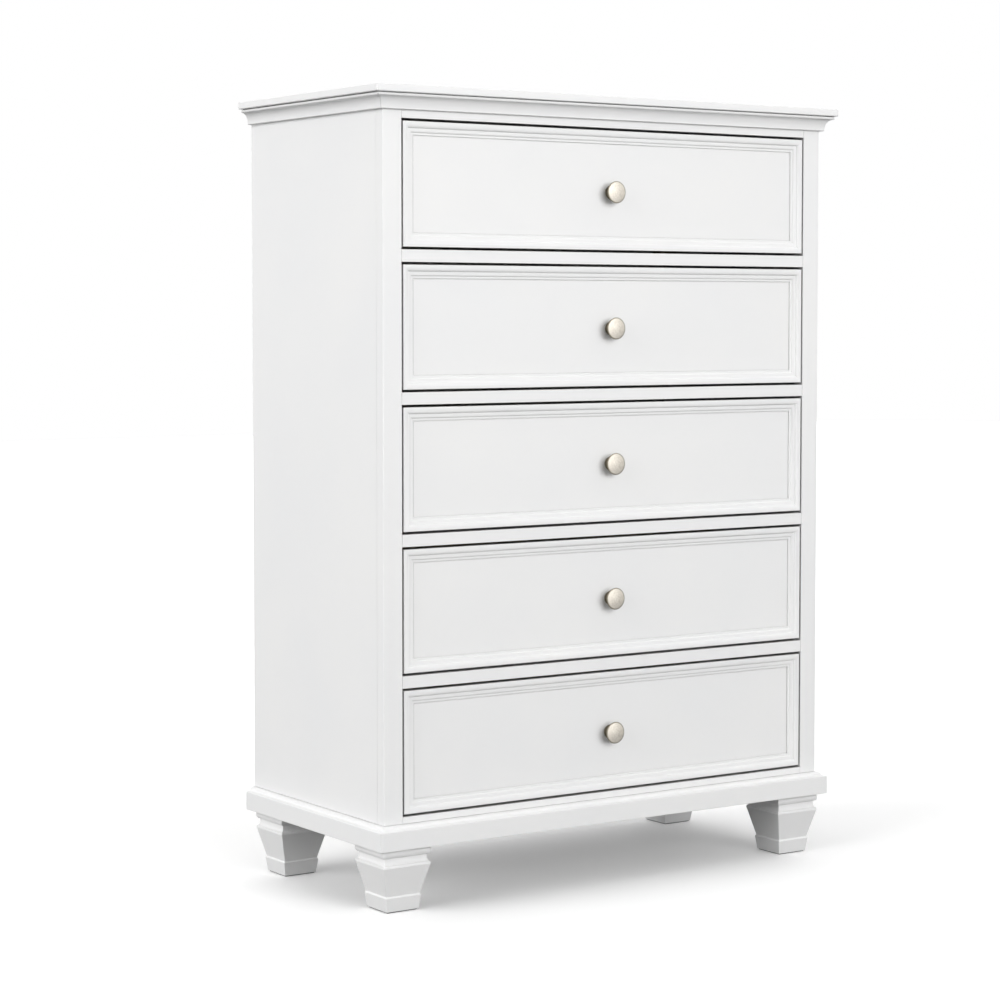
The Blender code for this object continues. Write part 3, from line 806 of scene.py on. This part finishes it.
def screw_head(name, radius, height, washer=None):
    """A pan head with a cross recess, standing on Z = 0, over a washer if it has one.

    A washer is its radius and its thickness.
    """
    if washer is None:
        foot = 0.0
        section = [(radius - 0.0002, foot)]
    else:
        edge, foot = washer
        section = [(edge - 0.0003, 0.0), (edge, 0.0002), (edge, foot - 0.0002)]
        section += [(edge - 0.0003, foot)]
    side = (radius, foot + height * 0.35)
    section += [(radius, foot + 0.0001), side]
    section += arc(side, (radius * 0.35, foot + height), level_start=False, steps=7)
    head = mesh_of(name, turned(section, steps=28))
    cutter = cross_cutter(radius * 0.62, radius * 0.24, height * 0.7, foot + height)
    return carved(head, cutter)


def facing(point, direction):
    """A matrix that puts a fixing at a point, with its Z along a direction."""
    turn = Vector(direction).to_track_quat("Z", "Y").to_matrix().to_4x4()
    return Matrix.Translation(point) @ turn


def add_knob_bolt(number):
    """The knob's bolt and washer, on the inner face of the front."""
    knob_low, knob_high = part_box(f"drawer_{number}_knob")
    front_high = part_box(f"drawer_{number}_front")[1]
    middle = (knob_low + knob_high) / 2
    place = facing((middle.x, front_high.y, middle.z), (0, 1, 0))
    piece = f"drawer_{number}_knob_bolt"
    mesh = screw_head(piece, radius=0.0040, height=0.0024, washer=(0.0070, 0.0010))
    add_piece(piece, mesh, ZINC, f"drawer_{number}", place=place)


def add_runner_screws(number):
    """Three screws hold each runner; their heads sit in its face, inside the drawer's groove."""
    radius, height, margin = 0.0030, 0.0005, 0.035
    head = screw_head("runner_screw", radius, height)
    for side, sign in SIDES:
        low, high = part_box(f"runner_{number}_{side}")
        face_x = low.x if sign > 0 else high.x
        middle_z = (low.z + high.z) / 2
        places = []
        for y in (low.y + margin, (low.y + high.y) / 2, high.y - margin):
            places.append((head, facing((face_x, y, middle_z), (-sign, 0, 0))))
        piece = f"runner_{number}_{side}_screws"
        mesh = mesh_of(piece, joined(places))
        add_piece(piece, mesh, ZINC, "case")


def add_back_nails():
    """Nails round the edge of the back panel."""
    low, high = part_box("back_panel")
    edge = (0.0024, 0.0002)
    section = [(0.0022, 0.0), edge, *arc(edge, (0.0004, 0.0009), level_start=False, steps=5)]
    nail = mesh_of("nail", turned(section, steps=20))
    left, right = low.x + NAIL_MARGIN, high.x - NAIL_MARGIN
    bottom, top = low.z + NAIL_MARGIN, high.z - NAIL_MARGIN
    spots = []
    for column in range(NAIL_COLUMNS):
        x = left + (right - left) * column / (NAIL_COLUMNS - 1)
        spots += [(x, bottom), (x, top)]
    for row in range(1, NAIL_ROWS - 1):
        z = bottom + (top - bottom) * row / (NAIL_ROWS - 1)
        spots += [(left, z), (right, z)]
    places = [(nail, facing((x, high.y, z), (0, 1, 0))) for x, z in spots]
    mesh = mesh_of("back_panel_nails", joined(places))
    add_piece("back_panel_nails", mesh, ZINC, "case")


# Floor, light and camera.


def add_floor():
    """A pale floor that is seen, over a darker one that light bounces off."""
    half, radius = FLOOR_HALF_WIDTH, FLOOR_CORNER_RADIUS
    for name, height, shade, seen in (
        ("floor", SEEN_FLOOR_HEIGHT, SEEN_FLOOR_SHADE, True),
        ("floor_bounce", BOUNCE_FLOOR_HEIGHT, BOUNCE_FLOOR_SHADE, False),
    ):
        heights = (height - FLOOR_THICKNESS, height)
        rings = [rounded_ring((-half, -half), (half, half), radius, z) for z in heights]
        mesh = mesh_of(name, loft(rings))
        mesh.materials.append(floor_surface(name, shade, painted_glow=seen))
        floor = bpy.data.objects.new(name, mesh)
        bpy.context.scene.collection.objects.link(floor)
        floor.visible_camera = seen
        floor.visible_diffuse = floor.visible_glossy = not seen
        floor.visible_transmission = floor.visible_shadow = not seen


def outwards(azimuth, elevation):
    """A direction from the chest: azimuth 0 is in front of it, and 90 on its right."""
    turn, rise = math.radians(azimuth), math.radians(elevation)
    level = math.cos(rise)
    return Vector((math.sin(turn) * level, -math.cos(turn) * level, math.sin(rise)))


def add_light(name, kind, azimuth, elevation, energy):
    """A lamp that shines back along a direction from the chest."""
    light = bpy.data.lights.new(name, kind)
    light.energy = energy
    lamp = bpy.data.objects.new(name, light)
    bpy.context.scene.collection.objects.link(lamp)
    away = outwards(azimuth, elevation)
    lamp.rotation_euler = (-away).to_track_quat("-Z", "Y").to_euler()
    lamp.visible_camera = False
    return lamp, light, away


def add_soft_sun(name, azimuth, elevation, spread, energy):
    """Even light from one side, as through a wide diffuser."""
    _, light, _ = add_light(name, "SUN", azimuth, elevation, energy)
    light.angle = math.radians(spread)


def add_softbox(name, azimuth, elevation, distance, size, energy, aim_z):
    """A rectangular soft light that points at a height on the chest's middle line."""
    lamp, light, away = add_light(name, "AREA", azimuth, elevation, energy)
    light.shape = "RECTANGLE"
    light.size, light.size_y = size
    lamp.location = Vector((0.0, 0.0, aim_z)) + away * distance


def add_world():
    """White to the camera. Its light on the chest comes mostly from behind, as off a backdrop."""
    world = bpy.data.worlds.new("studio")
    world.use_nodes = True
    tree = world.node_tree

    def node(kind, **inputs):
        made = tree.nodes.new("ShaderNode" + kind)
        for name, value in inputs.items():
            socket = made.inputs[name.replace("_", " ")]
            if isinstance(value, bpy.types.NodeSocket):
                tree.links.new(value, socket)
            else:
                socket.default_value = value
        return made

    direction = node("TexCoord").outputs["Generated"]
    bright = outwards(WORLD_AZIMUTH, WORLD_ELEVATION)
    lean = tree.nodes.new("ShaderNodeVectorMath")
    lean.operation = "DOT_PRODUCT"
    tree.links.new(direction, lean.inputs[0])
    lean.inputs[1].default_value = bright
    lit = node("MapRange", Value=lean.outputs["Value"], From_Min=-1.0, To_Min=WORLD_DIM)
    lit.inputs["To Max"].default_value = WORLD_LIGHT
    seen = node("LightPath").outputs["Is Camera Ray"]
    strength = node("MapRange", Value=seen, To_Min=lit.outputs["Result"], To_Max=1.0)
    background = tree.nodes["Background"]
    background.inputs["Color"].default_value = (1.0, 1.0, 1.0, 1.0)
    tree.links.new(strength.outputs["Result"], background.inputs["Strength"])
    bpy.context.scene.world = world
    bpy.context.scene.view_settings.view_transform = "Standard"


def add_camera():
    """The camera, a little above the middle of the chest and in front of its left corner."""
    camera = bpy.data.cameras.new("camera")
    camera.sensor_width = CAMERA_SENSOR
    camera.lens = CAMERA_LENS
    camera.shift_y = CAMERA_SHIFT
    holder = bpy.data.objects.new("camera", camera)
    bpy.context.scene.collection.objects.link(holder)
    holder.location = CAMERA_PLACE
    tilt, turn = math.radians(90 - CAMERA_TILT_DOWN), math.radians(CAMERA_TURN)
    holder.rotation_euler = (tilt, 0.0, turn)
    bpy.context.scene.camera = holder


PAINT = white_paint()
NICKEL = satin_nickel()
ZINC = zinc_steel()
FELT = felt()
BIRCH_ALONG_Y = wood("birch_along_y", 1, (0.70, 0.545, 0.36), (0.56, 0.39, 0.22))
BIRCH_ALONG_X = wood("birch_along_x", 0, (0.70, 0.545, 0.36), (0.56, 0.39, 0.22))
PLY = plywood()
HARDBOARD = hardboard()

add_world()
add_floor()
add_soft_sun("left_light", azimuth=-90.0, elevation=20.0, spread=50.0, energy=2.28)
add_soft_sun("front_light", azimuth=6.0, elevation=8.0, spread=48.0, energy=2.30)
add_soft_sun("top_light", azimuth=0.0, elevation=75.0, spread=60.0, energy=0.15)
add_softbox(
    "near_light",
    azimuth=-5.0,
    elevation=12.0,
    distance=2.0,
    size=(1.6, 0.9),
    energy=3.7,
    aim_z=1.05,
)
add_camera()

add_top()
add_cornice()
add_base()
add_stiles()
add_feet()
for number in DRAWERS:
    add_front(number)
    add_knob(number)
    add_knob_bolt(number)
    add_runner_screws(number)
add_back_nails()

for side, _ in SIDES:
    ease_board(f"side_panel_{side}", PAINT, 0.0005)
for rail in ("top", "1", "2", "3", "4", "bottom"):
    ease_board(f"rail_{rail}", PAINT, 0.0003)
ease_board("back_panel", HARDBOARD, 0.0003)
for number in DRAWERS:
    for side, _ in SIDES:
        ease_board(f"drawer_{number}_side_{side}", BIRCH_ALONG_Y, 0.0008)
        ease_board(f"runner_{number}_{side}", BIRCH_ALONG_Y, 0.0005)
    ease_board(f"drawer_{number}_back", BIRCH_ALONG_X, 0.0008)
    ease_board(f"drawer_{number}_bottom", PLY, 0.0003)
